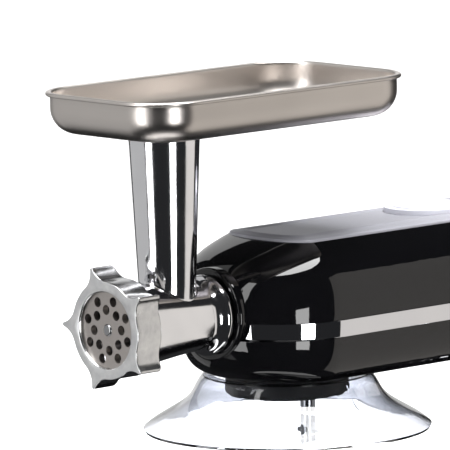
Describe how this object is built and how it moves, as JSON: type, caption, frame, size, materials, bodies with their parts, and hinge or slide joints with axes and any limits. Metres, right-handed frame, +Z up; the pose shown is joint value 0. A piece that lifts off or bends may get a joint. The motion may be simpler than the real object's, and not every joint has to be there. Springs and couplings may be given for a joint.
{
  "type": "electric meat grinder",
  "caption": "Meat grinder with steel food tray, five-lug ring nut and hole plate, driven by the front hub of a gloss black tilting motor head on a column and base.",
  "frame": {"origin": "on the table, under the middle of the whole machine", "axes": "+Z up, grinder outlet faces -Y, head and column run towards +Y"},
  "size_m": [0.2, 0.43, 0.4026],
  "materials": {
    "stainless": "satin brushed",
    "cast_aluminium": "polished casting",
    "plate_steel": "ground",
    "blade_steel": "ground",
    "shaft_steel": "turned",
    "gloss_black": "high gloss",
    "matte_black": "fine texture",
    "chrome": "mirror",
    "silver_cover": "satin metallic",
    "pale_plastic": "satin",
    "clear_plastic": "clear polycarbonate",
    "nylon": "smooth",
    "gear_steel": "oiled",
    "gearbox_alloy": "die cast",
    "lamination": "stamped",
    "copper": "enamelled wire",
    "carbon": "matte",
    "rubber": "matte",
    "board": "lacquered",
    "screw_steel": "zinc plated"
  },
  "bodies": {
    "base": {"base_shell": "gloss_black", "base_plate": "matte_black", "column": "gloss_black", "hinge_pin": "shaft_steel", "hinge_caps": "chrome", "speed_switch": "matte_black", "control_board": "board", "cord_gland": "matte_black", "bowl_seat": "matte_black", "rubber_feet": "rubber", "base_screws": "screw_steel"},
    "head": {"head_upper_shell": "gloss_black", "head_lower_shell": "gloss_black", "chrome_band": "chrome", "top_cover": "silver_cover", "hub_collar": "gloss_black", "hub_socket": "shaft_steel", "gearbox_case": "gearbox_alloy", "gearbox_lid": "gearbox_alloy", "hub_bearing": "shaft_steel", "motor_stator": "lamination", "field_coils": "copper", "brush_holders": "matte_black", "carbon_brushes": "carbon", "rear_bearing": "shaft_steel", "motor_end_bracket": "gearbox_alloy", "ring_gear": "nylon", "splash_guard": "clear_plastic", "hinge_bracket": "gearbox_alloy"},
    "grinder": {"grinder_housing": "cast_aluminium", "plate_locating_pin": "screw_steel", "thrust_washer": "nylon"},
    "tray": {"food_tray": "stainless"},
    "auger": {"auger": "cast_aluminium", "auger_front_stud": "shaft_steel", "auger_drive_tang": "shaft_steel", "cutting_knife": "blade_steel"},
    "plate": {"hole_plate": "plate_steel"},
    "nut": {"ring_nut": "cast_aluminium"},
    "hub_drive": {"hub_output_shaft": "shaft_steel", "hub_bevel_gear": "gear_steel"},
    "main_drive": {"main_shaft": "shaft_steel", "main_gear": "nylon", "drive_bevel_gear": "gear_steel"},
    "counter_drive": {"counter_shaft": "shaft_steel", "counter_gear": "nylon"},
    "motor": {"motor_shaft": "shaft_steel", "motor_pinion": "gear_steel", "motor_armature": "lamination", "commutator": "copper", "cooling_fan": "nylon"},
    "carrier": {"drive_spindle": "shaft_steel", "crown_wheel": "gear_steel", "planet_carrier": "matte_black"},
    "beater": {"beater_shaft": "shaft_steel", "planet_gear": "gear_steel"},
    "lock_button": {"hub_lock_button": "matte_black"},
    "outlet_cap": {"blender_outlet_cap": "pale_plastic"},
    "lever": {"tilt_lever": "chrome"},
    "knob": {"speed_knob": "chrome"}
  },
  "joints": [
    {"name": "head_tilt", "type": "hinge", "parent": "base", "child": "head", "pos_m": [0, 0.1682, 0.172], "axis": [-1, 0, 0], "range_deg": [0, 35]},
    {"name": "grinder_pull_off", "type": "slide", "parent": "head", "child": "grinder", "axis": [0, -1, 0], "range_m": [0, 0.045]},
    {"name": "tray_lift", "type": "slide", "parent": "grinder", "child": "tray", "axis": [0, 0, 1], "range_m": [0, 0.03]},
    {"name": "motor_spin", "type": "hinge", "parent": "head", "child": "motor", "pos_m": [0, 0.0932, 0.25], "axis": [0, 1, 0], "continuous": true},
    {"name": "counter_spin", "type": "hinge", "parent": "head", "child": "counter_drive", "pos_m": [0.0259, 0.0132, 0.25], "axis": [0, 1, 0], "continuous": true},
    {"name": "main_spin", "type": "hinge", "parent": "head", "child": "main_drive", "pos_m": [0, -0.0068, 0.25], "axis": [0, 1, 0], "continuous": true},
    {"name": "carrier_spin", "type": "hinge", "parent": "head", "child": "carrier", "pos_m": [0, -0.0468, 0.23], "axis": [0, 0, 1], "continuous": true},
    {"name": "beater_spin", "type": "hinge", "parent": "carrier", "child": "beater", "pos_m": [0.02, -0.0468, 0.19], "axis": [0, 0, 1], "continuous": true},
    {"name": "hub_spin", "type": "hinge", "parent": "head", "child": "hub_drive", "pos_m": [0, -0.0868, 0.25], "axis": [0, 1, 0], "continuous": true},
    {"name": "auger_spin", "type": "hinge", "parent": "grinder", "child": "auger", "pos_m": [0, -0.1568, 0.25], "axis": [0, 1, 0], "continuous": true},
    {"name": "nut_travel", "type": "slide", "parent": "grinder", "child": "plate", "axis": [0, -1, 0], "range_m": [0, 0.012]},
    {"name": "ring_nut_turn", "type": "hinge", "parent": "plate", "child": "nut", "pos_m": [0, -0.1968, 0.25], "axis": [0, -1, 0], "range_deg": [0, 1441]},
    {"name": "hub_lock_press", "type": "slide", "parent": "head", "child": "lock_button", "axis": [1, 0, 0], "range_m": [0, 0.004], "stiffness_N_per_m": 400},
    {"name": "outlet_cap_lift", "type": "slide", "parent": "head", "child": "outlet_cap", "axis": [0, 0, 1], "range_m": [0, 0.03]},
    {"name": "tilt_lever_turn", "type": "hinge", "parent": "base", "child": "lever", "pos_m": [0.05, 0.1682, 0.104], "axis": [1, 0, 0], "range_deg": [0, 30], "stiffness_Nm_per_rad": 0.5, "springref_deg": -11.46},
    {"name": "speed_knob_turn", "type": "hinge", "parent": "base", "child": "knob", "pos_m": [0.05, 0.1682, 0.066], "axis": [1, 0, 0], "range_deg": [0, 270]}
  ],
  "couplings": [
    {"joint": "counter_spin", "follows": "motor_spin", "ratio": -0.15625},
    {"joint": "main_spin", "follows": "motor_spin", "ratio": 0.042614},
    {"joint": "carrier_spin", "follows": "motor_spin", "ratio": 0.021307},
    {"joint": "beater_spin", "follows": "motor_spin", "ratio": -0.06392},
    {"joint": "hub_spin", "follows": "motor_spin", "ratio": -0.042614},
    {"joint": "auger_spin", "follows": "motor_spin", "ratio": -0.042614},
    {"joint": "ring_nut_turn", "follows": "nut_travel", "rad_per_m": 2094.4}
  ]
}
